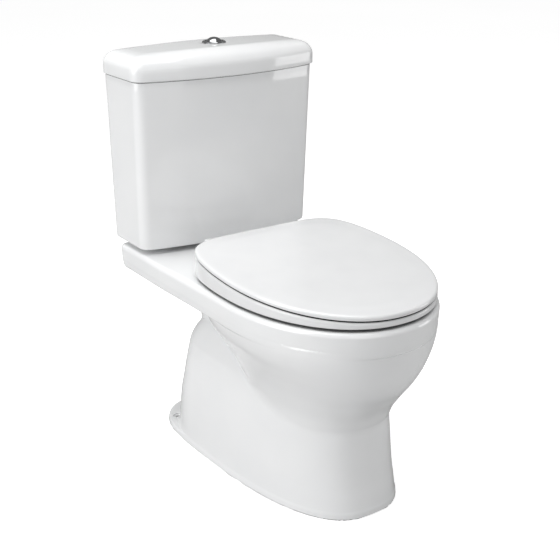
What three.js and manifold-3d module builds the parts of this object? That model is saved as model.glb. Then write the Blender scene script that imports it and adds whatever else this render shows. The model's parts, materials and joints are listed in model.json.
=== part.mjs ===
// Close coupled toilet: floor standing pan, cistern, dual flush and soft-close seat.
// Millimetres, +Z up, front towards -Y, origin on the floor under the middle of the whole object.
import * as THREE from 'three';
import { mergeVertices } from 'three/addons/utils/BufferGeometryUtils.js';
import Module from 'manifold-3d';

const wasm = await Module();
wasm.setup();

// ---- driving dimensions ------------------------------------------------------------------
const DEPTH = 676; // front of the rim to the back of the cistern
const FRONT_Y = -DEPTH / 2;
const WALL_Y = DEPTH / 2;
const RIM_Z = 390; // top of the rim and of the shelf that carries the cistern
const RIM_BAND = 46; // height of the upright band round the rim
const RIM_HALF_WIDTH = 190.5;
const WIDEST_Y = -70; // where rim and seat are widest
const SHELF_BACK_Y = 318;
const SHELF_CORNER = 26;
const WALL = 12; // thickness of the fired ceramic
const FOOT_HALF_WIDTH = 148;
const FOOT_CENTRE_Y = 135;
const FLANGE = 12; // thickness of the foot flange behind the column
const PEDESTAL_TOP_Z = 246; // where the casting divides into pedestal and bowl

const CISTERN = { bottomZ: 400, topZ: 726, bottomHalfWidth: 190, topHalfWidth: 197.5 };
const CISTERN_FRONT = { bottomCorner: 211, bottomBow: 21, topCorner: 198, topBow: 26 };
const CISTERN_WALL = 9;
const LID_OVERHANG = 4.5;
const LID_TOP_Z = 774; // at its edges; the crown adds LID_CROWN
const LID_CROWN = 6;

const BUTTON_Y = 255;
const BUTTON_SPLIT_X = 7; // where the dome divides into the full and the half flush button
const BUTTON_RADIUS = 16.5;
const BEZEL_RADIUS = 23.3;
const ROD_X = [-8, 11]; // full and half flush push rods

const SEAT = { halfWidth: 186, front: 263, back: 170, taper: 0.124, frontPower: 2.12, backPower: 6 };
const SEAT_SLOPE = 0.062; // the lid falls towards the front by this much per millimetre
const RING_BOTTOM_Z = 395.5;
const RING_TOP_AT_ORIGIN = 426.9; // heights of the sloping faces at y = 0
const LID_BOTTOM_AT_ORIGIN = 429.4;
const LID_TOP_AT_ORIGIN = 438.8;
const HINGE_Y = 119;
const HINGE_Z = 418;
const HINGE_X = 78;

const OUTLET_Y = 118; // 220 mm from the wall, a usual floor outlet set-out
const TRAP_RADIUS = 27;
const TRAP_WALL = 9;
const FLOOR_SCREW = { x: 116, y: 241, radius: 3.5, padRadius: 9, padZ: 10.5 };
const TIE_BOLT = { x: 80, y: 263, hole: 7 };
const INLET = { x: 140, y: 266, notch: 22 };
const OUTLINE_STEPS = 32;
const GAP = 0.3; // left between pieces that touch

// ---- solids ------------------------------------------------------------------------------
function solid(geometry) {
  const bare = geometry.clone();
  bare.deleteAttribute('normal');
  bare.deleteAttribute('uv');
  const merged = mergeVertices(bare, 1e-4);
  const vertProperties = new Float32Array(merged.attributes.position.array);
  const triVerts = new Uint32Array(merged.index.array);
  const body = new wasm.Manifold(new wasm.Mesh({ numProp: 3, vertProperties, triVerts }));
  if (body.volume() > 0) {
    return body;
  }
  for (let i = 0; i < triVerts.length; i += 3) {
    [triVerts[i], triVerts[i + 1]] = [triVerts[i + 1], triVerts[i]];
  }
  return new wasm.Manifold(new wasm.Mesh({ numProp: 3, vertProperties, triVerts }));
}

function geometryOf(body) {
  const mesh = body.getMesh();
  const geometry = new THREE.BufferGeometry();
  geometry.setAttribute('position', new THREE.BufferAttribute(new Float32Array(mesh.vertProperties), 3));
  geometry.setIndex(new THREE.BufferAttribute(new Uint32Array(mesh.triVerts), 1));
  return geometry;
}

const join = (first, ...others) => others.reduce((sum, next) => sum.add(next), first);
const cut = (first, ...others) => others.reduce((rest, next) => rest.subtract(next), first);

const signedPower = (value, power) => Math.sign(value) * Math.abs(value) ** power;

// Superelliptic plan outline, counter-clockwise, with its own length and power front and back.
function eggOutline({ halfWidth, centreY, front, back, frontPower, backPower, taper = 0, centreX = 0 }) {
  const points = [];
  for (let i = 0; i < OUTLINE_STEPS; i += 1) {
    const angle = (2 * Math.PI * i) / OUTLINE_STEPS;
    const power = 2 / (Math.sin(angle) < 0 ? frontPower : backPower);
    const along = signedPower(Math.sin(angle), power);
    const width = along > 0 ? halfWidth * (1 - taper * along * along) : halfWidth;
    const x = centreX + width * signedPower(Math.cos(angle), power);
    points.push(new THREE.Vector2(x, centreY + along * (along < 0 ? front : back)));
  }
  return points;
}

// Points on an arc about (x, y), both ends included.
function arc(x, y, radius, from, to, steps) {
  return Array.from({ length: steps + 1 }, (_, i) => {
    const angle = from + ((to - from) * i) / steps;
    return new THREE.Vector2(x + radius * Math.cos(angle), y + radius * Math.sin(angle));
  });
}

// Rounded nose, straight sides and a squared back with rounded corners, moved in by inset.
function shelfOutline(inset) {
  const width = RIM_HALF_WIDTH - inset;
  const nose = WIDEST_Y - (FRONT_Y + inset);
  const back = SHELF_BACK_Y - inset;
  const corner = SHELF_CORNER - inset * 0.5;
  const points = arc(width - corner, back - corner, corner, 0, Math.PI / 2, 5);
  points.push(...arc(corner - width, back - corner, corner, Math.PI / 2, Math.PI, 5));
  for (let i = 0; i <= 28; i += 1) {
    const angle = Math.PI + (Math.PI * i) / 28;
    const power = 2 / SEAT.frontPower;
    const x = width * signedPower(Math.cos(angle), power);
    points.push(new THREE.Vector2(x, WIDEST_Y + nose * signedPower(Math.sin(angle), power)));
  }
  return points;
}

// Plan outline of the cistern: flat back, straight sides and a front bowed forwards by bow.
function cisternOutline({ halfWidth, cornerY, bow, back = WALL_Y, frontRadius = 22, backRadius = 12 }) {
  const rear = back - backRadius;
  const points = arc(halfWidth - backRadius, rear, backRadius, 0, Math.PI / 2, 4);
  points.push(...arc(backRadius - halfWidth, rear, backRadius, Math.PI / 2, Math.PI, 4));
  points.push(...arc(frontRadius - halfWidth, cornerY + frontRadius, frontRadius, Math.PI, 1.42 * Math.PI, 4));
  const span = halfWidth - frontRadius;
  for (let i = 1; i < 12; i += 1) {
    const across = -1 + i / 6;
    points.push(new THREE.Vector2(across * span, cornerY - bow * (1 - across * across)));
  }
  points.push(...arc(span, cornerY + frontRadius, frontRadius, -0.42 * Math.PI, 0, 4));
  return points;
}

// Closed body through plan outlines with equal numbers of points; height is a number or a function of y.
function loft(levels) {
  const count = levels[0].outline.length;
  const positions = [];
  const heightAt = (level, point) => (typeof level.z === 'function' ? level.z(point.y, point.x) : level.z);
  for (const level of levels) {
    level.outline.forEach((point) => positions.push(point.x, point.y, heightAt(level, point)));
  }
  const index = [];
  for (let row = 0; row + 1 < levels.length; row += 1) {
    for (let i = 0; i < count; i += 1) {
      const [a, b] = [row * count + i, row * count + ((i + 1) % count)];
      index.push(a, b, b + count, a, b + count, a + count);
    }
  }
  const capped = THREE.ShapeUtils.triangulateShape(levels[0].outline, []);
  const top = (levels.length - 1) * count;
  capped.forEach(([a, b, c]) => index.push(a, c, b));
  const topCap = THREE.ShapeUtils.triangulateShape(levels[levels.length - 1].outline, []);
  topCap.forEach(([a, b, c]) => index.push(top + a, top + b, top + c));
  const geometry = new THREE.BufferGeometry();
  geometry.setAttribute('position', new THREE.Float32BufferAttribute(positions, 3));
  geometry.setIndex(index);
  return solid(geometry);
}

function cylinder(radius, bottomZ, topZ, x = 0, y = 0, sides = 20) {
  const geometry = new THREE.CylinderGeometry(radius, radius, topZ - bottomZ, sides);
  geometry.rotateX(Math.PI / 2);
  geometry.translate(x, y, (topZ + bottomZ) / 2);
  return solid(geometry);
}

function cylinderX(radius, fromX, toX, y, z, sides = 16) {
  const geometry = new THREE.CylinderGeometry(radius, radius, toX - fromX, sides);
  geometry.rotateZ(Math.PI / 2);
  geometry.translate((fromX + toX) / 2, y, z);
  return solid(geometry);
}

function box(low, high) {
  const size = low.map((value, i) => high[i] - value);
  const geometry = new THREE.BoxGeometry(...size);
  geometry.translate(...low.map((value, i) => (value + high[i]) / 2));
  return solid(geometry);
}

// Turned body: profile is [radius, z] pairs that start and end on the axis or close on themselves.
function turned(profile, x = 0, y = 0, sides = 20) {
  const closed = profile[0][0] === 0 ? profile : [...profile, profile[0]];
  const geometry = new THREE.LatheGeometry(closed.map(([r, z]) => new THREE.Vector2(r, z)), sides);
  geometry.rotateX(Math.PI / 2);
  geometry.translate(x, y, 0);
  return solid(geometry);
}

const ringBody = (inner, outer, bottomZ, topZ, x = 0, y = 0, sides = 16) => turned(
  [[inner, bottomZ], [outer, bottomZ], [outer, topZ], [inner, topZ]], x, y, sides,
);

// Round tube along a smooth curve through points.
function tube(points, radius, steps, sides = 10) {
  const path = new THREE.CatmullRomCurve3(points.map((point) => new THREE.Vector3(...point)));
  const section = new THREE.Shape(arc(0, 0, radius, 0, 2 * Math.PI, sides).slice(0, sides));
  const geometry = new THREE.ExtrudeGeometry(section, { steps, extrudePath: path, bevelEnabled: false });
  return solid(geometry);
}

// Nut or locking ring: flats outside, round bore inside.
function nut(radius, bore, bottomZ, topZ, x, y, sides) {
  return cut(cylinder(radius, bottomZ, topZ, x, y, sides), cylinder(bore, bottomZ - 2, topZ + 2, x, y, 20));
}

const both = (make) => ['left', 'right'].map((side) => make(side, side === 'left' ? -1 : 1));

// ---- pan ---------------------------------------------------------------------------------
// Each row: height, half width, length forward and length back of the centre, power at the back.
const BASE_ROWS = [
  [0, FOOT_HALF_WIDTH, 405, 176, 3.0], [FLANGE, 147, 404, 174, 3.0], [15, 145.8, 403, 140, 2.5],
  [36, 145, 398, 127, 2.4], [60, 144.5, 392, 124, 2.4], [100, 143, 386.5, 119, 2.3],
  [150, 139, 382.5, 104, 2.2], [190, 132, 377, 96, 2.2], [220, 123.5, 363, 89, 2.2],
  [242, 110, 342, 78, 2.2], [256, 92, 316, 60, 2.2], [266, 50, 260, 30, 2.2],
];
// The bowl: height, half width, length forward and length back of its widest place.
const BOWL_ROWS = [
  [112, 76, 124, 48], [140, 102, 158, 73], [161, 113, 171, 90], [190, 117, 184, 112],
  [226, 128, 209, 150], [260, 143, 234, 190], [290, 160, 247.5, 220], [318, 177, 252, 238],
  [RIM_Z - RIM_BAND + 3, 185.5, 254, 250],
];
// The inside of the bowl, below the overhang of the rim.
const HOLLOW_ROWS = [
  [92, 18, 20, 20], [125, 42, 52, 50], [160, 60, 84, 64], [190, 80, 132, 84], [225, 108, 188, 110],
  [262, 130, 220, 138], [310, 156, 237, 165], [358, 168, 245, 176], [368, 150, 232, 160],
];
const BOWL_CENTRE_Y = -75;
const MOUTH = { halfWidth: 131, centreY: -111, front: 175, back: 160, frontPower: 2.15, backPower: 2.3 };
const TRAP_PATH = [
  [0, -75, 124], [0, -25, 112], [0, 20, 128], [0, 62, 170], [0, 106, 204], [0, 148, 206], [0, 182, 180],
  [0, 188, 142], [0, 166, 92], [0, 130, 48], [0, OUTLET_Y, 10], [0, OUTLET_Y, -20],
];

function baseBody() {
  return loft(BASE_ROWS.map(([z, halfWidth, front, back, backPower]) => ({
    z,
    outline: eggOutline({ halfWidth, centreY: FOOT_CENTRE_Y, front, back, frontPower: 2.6, backPower }),
  })));
}

function bowlBody(rows, grow = 0) {
  return loft(rows.map(([z, halfWidth, front, back], i) => ({
    z: i === 0 ? z - grow : z,
    outline: eggOutline({
      halfWidth: halfWidth + grow,
      centreY: BOWL_CENTRE_Y,
      front: front + grow,
      back: back + grow,
      frontPower: 2.3,
      backPower: 2,
    }),
  })));
}

function shelfBody() {
  const levels = [[-50, 9], [-46, 3.6], [-40, 2.3], [-30, 1.2], [-9, 0], [-5, 1], [-2, 3.6], [0, 9]];
  return loft(levels.map(([z, inset]) => ({ z: RIM_Z + z, outline: shelfOutline(inset) })));
}

// Neck between the column and the shelf, which carries the weight of the cistern.
function neckBody() {
  const levels = [[235, 92, 98], [262, 94, 102], [300, 92, 96], [325, 94, 95], [345, 104, 104]];
  return loft(levels.map(([z, halfWidth, back]) => ({
    z,
    outline: eggOutline({ halfWidth, centreY: FOOT_CENTRE_Y, front: 160, back, frontPower: 2, backPower: 2.2 }),
  })));
}

// The open space under the foot, which the casting leaves round the bowl and the trap.
function undersideHollow(bowlShell, trapTube) {
  const levels = [
    [-5, 134, 388, 122], [60, 132, 379, 112], [100, 131, 373, 106], [150, 125, 364, 92], [200, 113, 345, 80],
    [228, 94, 300, 74], [245, 80, 200, 84], [326, 80, 150, 82],
  ];
  const hollow = loft(levels.map(([z, halfWidth, front, back]) => ({
    z,
    outline: eggOutline({ halfWidth, centreY: FOOT_CENTRE_Y, front, back, frontPower: 2.6, backPower: 2.2 }),
  })));
  const bosses = both((side, direction) => cylinder(17, 300, RIM_Z, direction * HINGE_X, HINGE_Y, 16));
  const pieces = cut(hollow, bowlShell, trapTube, ...bosses).decompose();
  return pieces.filter((piece) => piece.boundingBox().min[2] < 0);
}

function mouthBody() {
  return loft([350, RIM_Z + 5].map((z) => ({ z, outline: eggOutline(MOUTH) })));
}

function waterWay() {
  const steps = [[0, 355], [29, 355], [29, 372], [48, 372.5], [48, RIM_Z + 5], [0, RIM_Z + 5]];
  const inlet = turned(steps, 0, BUTTON_Y);
  const route = [[0, BUTTON_Y + 10, 354], [0, BUTTON_Y - 60, 352], [0, 150, 352], [0, 70, 352]];
  const channel = tube(route, 15, 8, 12);
  return join(inlet, channel);
}

function inletNotch(direction) {
  const x = direction * INLET.x;
  const slot = box([x - INLET.notch, INLET.y, 330], [x + INLET.notch, SHELF_BACK_Y + 10, RIM_Z + 5]);
  return join(slot, cylinder(INLET.notch, 330, RIM_Z + 5, x, INLET.y));
}

function pan() {
  const outside = join(bowlBody(BOWL_ROWS), baseBody(), neckBody(), shelfBody());
  const inside = bowlBody(HOLLOW_ROWS);
  const trap = tube(TRAP_PATH, TRAP_RADIUS, 20, 10);
  const trapTube = tube(TRAP_PATH, TRAP_RADIUS + TRAP_WALL, 20, 10);
  const hollows = undersideHollow(bowlBody(HOLLOW_ROWS, WALL), trapTube);
  const holes = both((side, direction) => join(
    cylinder(FLOOR_SCREW.radius, -5, 40, direction * FLOOR_SCREW.x, FLOOR_SCREW.y, 12),
    cylinder(FLOOR_SCREW.padRadius, FLOOR_SCREW.padZ, 40, direction * FLOOR_SCREW.x, FLOOR_SCREW.y, 16),
    cylinder(TIE_BOLT.hole, 330, RIM_Z + 5, direction * TIE_BOLT.x, TIE_BOLT.y, 16),
    cylinder(8.5, 346, RIM_Z + 5, direction * HINGE_X, HINGE_Y, 16),
    inletNotch(direction),
  ));
  return cut(outside, ...hollows, inside, mouthBody(), trap, waterWay(), ...holes);
}

// The part of a body between two heights.
function slice(body, bottomZ, topZ) {
  return body.intersect(box([-400, -400, bottomZ], [400, 400, topZ]));
}

// ---- cistern -----------------------------------------------------------------------------
function cisternSection(part, inset, back = WALL_Y) {
  const blend = (low, high) => low + (high - low) * part;
  return cisternOutline({
    halfWidth: blend(CISTERN.bottomHalfWidth, CISTERN.topHalfWidth) - inset,
    cornerY: blend(CISTERN_FRONT.bottomCorner, CISTERN_FRONT.topCorner) + inset,
    bow: blend(CISTERN_FRONT.bottomBow, CISTERN_FRONT.topBow),
    back,
    frontRadius: Math.max(22 - inset * 0.6, 6),
    backRadius: Math.max(12 - inset * 0.6, 5),
  });
}

function cistern() {
  const { bottomZ, topZ } = CISTERN;
  const outside = loft([
    { z: bottomZ, outline: cisternSection(0, 6, WALL_Y - 6) },
    { z: bottomZ + 7, outline: cisternSection(0.02, 0) },
    { z: topZ, outline: cisternSection(1, 0) },
  ]);
  const innerBack = WALL_Y - CISTERN_WALL;
  const inside = loft([
    { z: bottomZ + 12, outline: cisternSection(0.03, CISTERN_WALL + 3, innerBack - 3) },
    { z: bottomZ + 20, outline: cisternSection(0.06, CISTERN_WALL, innerBack) },
    { z: topZ + 5, outline: cisternSection(1, CISTERN_WALL, innerBack) },
  ]);
  const holes = both((side, direction) => join(
    cylinder(TIE_BOLT.hole, bottomZ - 5, bottomZ + 30, direction * TIE_BOLT.x, TIE_BOLT.y, 16),
    cylinder(12, bottomZ - 5, bottomZ + 30, direction * INLET.x, INLET.y, 16),
  ));
  return cut(outside, inside, cylinder(32, bottomZ - 5, bottomZ + 30, 0, BUTTON_Y), ...holes);
}

function cisternLid() {
  const bottom = CISTERN.topZ + GAP;
  const section = (inset) => cisternSection(1, inset - LID_OVERHANG, WALL_Y - Math.max(inset - 1, 0));
  const crown = (y, x) => LID_TOP_Z - 2 + LID_CROWN * (1 - (x / CISTERN.topHalfWidth) ** 2);
  const outside = loft([
    { z: bottom + 1.8, outline: section(0) }, { z: 748, outline: section(0) },
    { z: 758, outline: section(3.5) }, { z: 766, outline: section(9) },
    { z: 770, outline: section(15) }, { z: LID_TOP_Z - 1, outline: section(26) },
    { z: crown, outline: section(44) },
  ]);
  const land = loft([{ z: bottom, outline: section(4.5) }, { z: bottom + 4, outline: section(4.5) }]);
  const lip = loft([{ z: bottom - 6, outline: section(17.5) }, { z: bottom + 4, outline: section(17.5) }]);
  const hollow = loft([
    { z: bottom - 8, outline: section(25) }, { z: 756, outline: section(25) },
    { z: 764, outline: section(40) },
  ]);
  return cut(join(outside, land, lip), hollow, cylinder(20, 700, 800, 0, BUTTON_Y));
}

function couplingGasket() {
  return turned([
    [41, 373], [46.5, 373], [47, RIM_Z + GAP], [52, RIM_Z + GAP],
    [52, CISTERN.bottomZ - GAP], [41, CISTERN.bottomZ - GAP],
  ], 0, BUTTON_Y);
}

// ---- fixings -----------------------------------------------------------------------------
function tieBolt(direction) {
  const [x, y] = [direction * TIE_BOLT.x, TIE_BOLT.y];
  return join(cylinder(4, 340, 421, x, y, 14), cylinder(10, 420.5, 425, x, y, 20));
}

function wingNut(direction) {
  const [x, y] = [direction * TIE_BOLT.x, TIE_BOLT.y];
  const hub = cylinder(8, 324, 336.4, x, y, 16);
  const wing = (way) => box([x + (way < 0 ? -17 : 6), y - 2, 320], [x + (way < 0 ? -6 : 17), y + 2, 334]);
  return cut(join(hub, wing(-1), wing(1)), cylinder(4.3, 310, 338, x, y, 14));
}

function hingePost(direction) {
  const x = direction * HINGE_X;
  const foot = cylinder(15, RIM_Z + GAP, RIM_Z + 5, x, HINGE_Y, 28);
  const stem = cylinder(8, RIM_Z + 4, HINGE_Z, x, HINGE_Y, 20);
  const barrel = cylinderX(10.5, x - 11, x + 11, HINGE_Y, HINGE_Z);
  return cut(
    join(foot, stem, barrel),
    cylinderX(5.3, x - 20, x + 20, HINGE_Y, HINGE_Z, 20),
    cylinder(4.3, RIM_Z - 5, HINGE_Z - 9, x, HINGE_Y, 14),
  );
}

function hingeDamper(direction) {
  const x = direction * HINGE_X;
  const pin = cylinderX(5, x - 31, x + 31, HINGE_Y, HINGE_Z, 20);
  return join(pin, cylinderX(8.5, x + direction * 32 - 1.2, x + direction * 32 + 1.2, HINGE_Y, HINGE_Z, 20));
}

const hingeStud = (direction) => cylinder(4, 352, HINGE_Z - 9.5, direction * HINGE_X, HINGE_Y, 14);
const hingeSleeve = (direction) => ringBody(4.3, 8.2, 350, RIM_Z - 1, direction * HINGE_X, HINGE_Y);

// ---- flush valve -------------------------------------------------------------------------
function flushValveBody() {
  const shell = turned([
    [25, 378], [29, 378], [29, CISTERN.bottomZ + 12 + GAP], [40, CISTERN.bottomZ + 12 + GAP], [40, 418],
    [36, 420], [36, 560], [33, 560], [33, 424], [25, 420],
  ], 0, BUTTON_Y, 24);
  const window = box([-18, BUTTON_Y - 50, 426], [18, BUTTON_Y + 50, 480]);
  const sideWindow = box([-50, BUTTON_Y - 18, 426], [50, BUTTON_Y + 18, 480]);
  return cut(shell, window, sideWindow);
}

function flushValveHead() {
  const shell = turned([[20, 560 + GAP], [36, 560 + GAP], [36, 640], [33, 650], [20, 650]], 0, BUTTON_Y, 24);
  const wells = ROD_X.map((x) => cylinder(5, 630, 660, x, BUTTON_Y - 27, 12));
  return cut(shell, ...wells);
}

const overflowTube = () => ringBody(13, 16, 434.6, 648, 0, BUTTON_Y, 20);
const flushSeal = () => ringBody(10, 31.5, 424.3, 434.3, 0, BUTTON_Y, 20);
const flushLockNut = () => nut(39, 29.6, 386, CISTERN.bottomZ - GAP, 0, BUTTON_Y, 12);

// ---- fill valve --------------------------------------------------------------------------
const LEVER_PIVOT = { x: INLET.x - 9, z: 652 };

function fillValveBody() {
  return turned([
    [5, 358], [9.5, 358], [9.5, CISTERN.bottomZ + 14 + GAP], [17, CISTERN.bottomZ + 14 + GAP],
    [17, CISTERN.bottomZ + 20], [13, CISTERN.bottomZ + 22], [13, 636], [5, 636],
  ], INLET.x, INLET.y, 20);
}

function fillValveCap() {
  const { x } = INLET;
  const cap = join(
    cylinder(15, 636 + GAP, 646, x, INLET.y, 20),
    box([x - 13, INLET.y - 10, 645], [x - 5, INLET.y - 6, 659]),
    box([x - 13, INLET.y + 6, 645], [x - 5, INLET.y + 10, 659]),
    cylinder(4, 645, 662, x + 8, INLET.y, 12),
  );
  const cross = new THREE.CylinderGeometry(1.8, 1.8, 19, 12);
  cross.translate(LEVER_PIVOT.x, INLET.y, LEVER_PIVOT.z);
  return join(cap, solid(cross));
}

function fillValveLever() {
  const { x, z } = LEVER_PIVOT;
  const arm = box([x - 44, INLET.y - 4, z - 4], [x + 5, INLET.y + 4, z + 4]);
  const bore = new THREE.CylinderGeometry(2.3, 2.3, 30, 12);
  bore.translate(x, INLET.y, z);
  const slot = box([x - 40.5, INLET.y - 2.4, z - 10], [x - 30, INLET.y + 2.4, z + 10]);
  return cut(arm, solid(bore), slot);
}

function floatCup() {
  const cup = turned([[15, 520], [24, 520], [24, 590], [15, 590]], INLET.x, INLET.y, 28);
  const lug = box([INLET.x - 49, INLET.y - 5, 582], [INLET.x - 20, INLET.y + 5, 588]);
  return cut(join(cup, lug), cylinder(1.8, 570, 595, LEVER_PIVOT.x - 34, INLET.y, 12));
}

const floatRod = () => cylinder(1.4, 575, 672, LEVER_PIVOT.x - 34, INLET.y, 10);

function refillTube() {
  return tube([[126, 249, 608], [112, 236, 614], [88, 232, 640], [62, 242, 676], [38, 258, 700],
    [14, 266, 704], [2, 263, 694], [0, 261, 676]], 3.2, 26, 8);
}

const inletWasher = () => ringBody(9.9, 19, CISTERN.bottomZ + 12 + GAP, CISTERN.bottomZ + 14, INLET.x, INLET.y);
const inletNut = () => nut(16, 9.9, 387, CISTERN.bottomZ - GAP, INLET.x, INLET.y, 6);

function blankingPlug() {
  return turned([[0, 376], [9.5, 376], [9.5, 412.4], [16, 412.4], [16, 417], [0, 417]], -INLET.x, INLET.y, 20);
}

const blankingNut = () => nut(16, 9.9, 387, CISTERN.bottomZ - GAP, -INLET.x, INLET.y, 6);

// ---- buttons -----------------------------------------------------------------------------
const LID_AT_BUTTON_Z = LID_TOP_Z - 2 + LID_CROWN;

function buttonBezel() {
  const top = LID_AT_BUTTON_Z;
  return turned([
    [17.2, 742], [19.4, 742], [19.4, top + GAP], [BEZEL_RADIUS, top + GAP], [BEZEL_RADIUS, top + 1.4],
    [BEZEL_RADIUS - 3, top + 3.2], [17.2, top + 3.2],
  ], 0, BUTTON_Y, 28);
}

function buttonDome() {
  const base = LID_AT_BUTTON_Z - 16;
  const edge = LID_AT_BUTTON_Z + 1.6;
  const rise = 8.6;
  const sphere = (BUTTON_RADIUS ** 2 + rise ** 2) / (2 * rise);
  const profile = [[0, base], [BUTTON_RADIUS, base], [BUTTON_RADIUS, edge]];
  for (let i = 1; i <= 4; i += 1) {
    const radius = BUTTON_RADIUS * (1 - i / 4);
    profile.push([radius, edge + rise - sphere + Math.sqrt(sphere ** 2 - radius ** 2)]);
  }
  return turned(profile, 0, BUTTON_Y, 28);
}

function buttonHalf(keepLeft) {
  const edge = BUTTON_SPLIT_X + (keepLeft ? -GAP : GAP);
  const side = keepLeft ? [edge, 60] : [-60, edge];
  return cut(buttonDome(), box([side[0], BUTTON_Y - 60, 700], [side[1], BUTTON_Y + 60, 820]));
}

function pushRod(x) {
  const top = LID_AT_BUTTON_Z - 16 - GAP;
  const foot = cylinder(3, 652, 686, x, BUTTON_Y - 27, 12);
  const bridge = box([x - 3, BUTTON_Y - 29, 684], [x + 3, BUTTON_Y - 4, 689]);
  return join(foot, bridge, cylinder(3, 687, top, x, BUTTON_Y - 6, 12));
}

const buttonLockNut = () => nut(29, 19.8, 753, 763.6, 0, BUTTON_Y, 12);

// ---- seat --------------------------------------------------------------------------------
const seatSlope = (height, drop = 0) => (y) => height - drop + SEAT_SLOPE * y;

function seatOutline(inset) {
  return eggOutline({
    halfWidth: SEAT.halfWidth - inset,
    centreY: WIDEST_Y,
    front: SEAT.front - inset,
    back: SEAT.back - inset,
    taper: SEAT.taper,
    frontPower: SEAT.frontPower,
    backPower: SEAT.backPower,
  });
}

const RING_OPENING = { halfWidth: 112, centreY: -108, front: 160, back: 140, frontPower: 2.1, backPower: 2.1 };
const RING_BUFFERS = [['front', 122, -235], ['rear', 150, -10]];
const LID_BUFFERS = [['left', -140, -140], ['right', 140, -140]];

// Arm and bored knuckle on the hinge line, at x between the two ends given.
function knuckle(fromX, toX, armLow, armHigh) {
  const barrel = cylinderX(10.5, fromX, toX, HINGE_Y, HINGE_Z);
  const arm = box([fromX, armLow[0], armLow[1]], [toX, armHigh[0], armHigh[1]]);
  return { body: join(barrel, arm), bore: cylinderX(5.4, fromX - 5, toX + 5, HINGE_Y, HINGE_Z, 20) };
}

function seatRing() {
  const top = seatSlope(RING_TOP_AT_ORIGIN - 0.2);
  const body = loft([
    { z: RING_BOTTOM_Z, outline: seatOutline(3) },
    { z: RING_BOTTOM_Z + 3, outline: seatOutline(0) },
    { z: seatSlope(RING_TOP_AT_ORIGIN, 3), outline: seatOutline(0) },
    { z: top, outline: seatOutline(3) },
  ]);
  const opening = loft([
    { z: 385, outline: eggOutline(RING_OPENING) },
    { z: 405, outline: eggOutline(RING_OPENING) },
    { z: 450, outline: eggOutline({ ...RING_OPENING, halfWidth: 126, front: 172, back: 152 }) },
  ]);
  const pockets = RING_BUFFERS.flatMap(([, x, y]) => [-x, x].map((at) => cylinder(8.3, 385, 400.5, at, y, 20)));
  const knuckles = both((side, direction) => {
    const ends = [direction * (HINGE_X - 12), direction * (HINGE_X - 30)].sort((a, b) => a - b);
    return knuckle(ends[0], ends[1], [90, HINGE_Z - 10], [HINGE_Y, HINGE_Z + 9]);
  });
  const joined = join(cut(body, opening, ...pockets), ...knuckles.map((piece) => piece.body));
  return cut(joined, ...knuckles.map((piece) => piece.bore));
}

function seatLid() {
  const bottom = seatSlope(LID_BOTTOM_AT_ORIGIN);
  const top = (y, x) => seatSlope(LID_TOP_AT_ORIGIN)(y) + 2 * (1 - (x / SEAT.halfWidth) ** 2);
  const body = loft([
    { z: bottom, outline: seatOutline(2) },
    { z: seatSlope(LID_BOTTOM_AT_ORIGIN, -2), outline: seatOutline(0) },
    { z: seatSlope(LID_TOP_AT_ORIGIN, 4), outline: seatOutline(0) },
    { z: seatSlope(LID_TOP_AT_ORIGIN, 1), outline: seatOutline(3) },
    { z: seatSlope(LID_TOP_AT_ORIGIN, 0), outline: seatOutline(8) },
    { z: top, outline: seatOutline(40) },
  ]);
  const pockets = LID_BUFFERS.map(([, x, y]) => {
    const under = bottom(y);
    return cylinder(7.3, under - 5, under + 3, x, y, 20);
  });
  const knuckles = both((side, direction) => {
    const ends = [direction * (HINGE_X + 12), direction * (HINGE_X + 30)].sort((a, b) => a - b);
    return knuckle(ends[0], ends[1], [102, HINGE_Z], [HINGE_Y + 7, 434]);
  });
  const tongues = both((side, direction) => {
    const ends = [direction * (HINGE_X + 12), direction * (HINGE_X + 30)].sort((a, b) => a - b);
    const drop = box([ends[0], 102, 430], [ends[1], 109, 440]);
    return join(drop, box([ends[0], 90, 436.5], [ends[1], 109, 440]));
  });
  const joined = join(cut(body, ...pockets), ...knuckles.map((piece) => piece.body), ...tongues);
  return cut(joined, ...knuckles.map((piece) => piece.bore));
}

function lidBuffer(x, y) {
  const under = seatSlope(LID_BOTTOM_AT_ORIGIN)(y);
  return cylinder(7, under - 1.9, under + 2.7, x, y, 20);
}

const ringBuffer = (x, y) => cylinder(8, RIM_Z + GAP, 400.2, x, y, 20);

// ---- materials and assembly --------------------------------------------------------------
const MATERIALS = {
  glaze: { color: 0xf4f5f5, roughness: 0.12, metalness: 0 },
  seat: { color: 0xf6f6f6, roughness: 0.22, metalness: 0 },
  chrome: { color: 0xd8dadd, roughness: 0.1, metalness: 1 },
  plastic: { color: 0xe6e8ea, roughness: 0.5, metalness: 0 },
  blue: { color: 0x3f78b5, roughness: 0.5, metalness: 0 },
  rubber: { color: 0x2b2c2e, roughness: 0.85, metalness: 0 },
  buffer: { color: 0xdddddb, roughness: 0.7, metalness: 0 },
  steel: { color: 0xb4b6b8, roughness: 0.35, metalness: 1 },
};

const toilet = new THREE.Group();

function place(name, body, finish) {
  const mesh = new THREE.Mesh(geometryOf(body), new THREE.MeshStandardMaterial(MATERIALS[finish]));
  mesh.name = name;
  toilet.add(mesh);
}

const ware = pan();
place('pan_rim', slice(ware, RIM_Z - RIM_BAND, RIM_Z + 5), 'glaze');
place('pan_bowl', slice(ware, PEDESTAL_TOP_Z, RIM_Z - RIM_BAND - GAP), 'glaze');
place('pan_pedestal', slice(ware, -5, PEDESTAL_TOP_Z - GAP), 'glaze');
place('cistern', cistern(), 'glaze');
place('cistern_lid', cisternLid(), 'glaze');
place('coupling_gasket', couplingGasket(), 'rubber');

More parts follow.
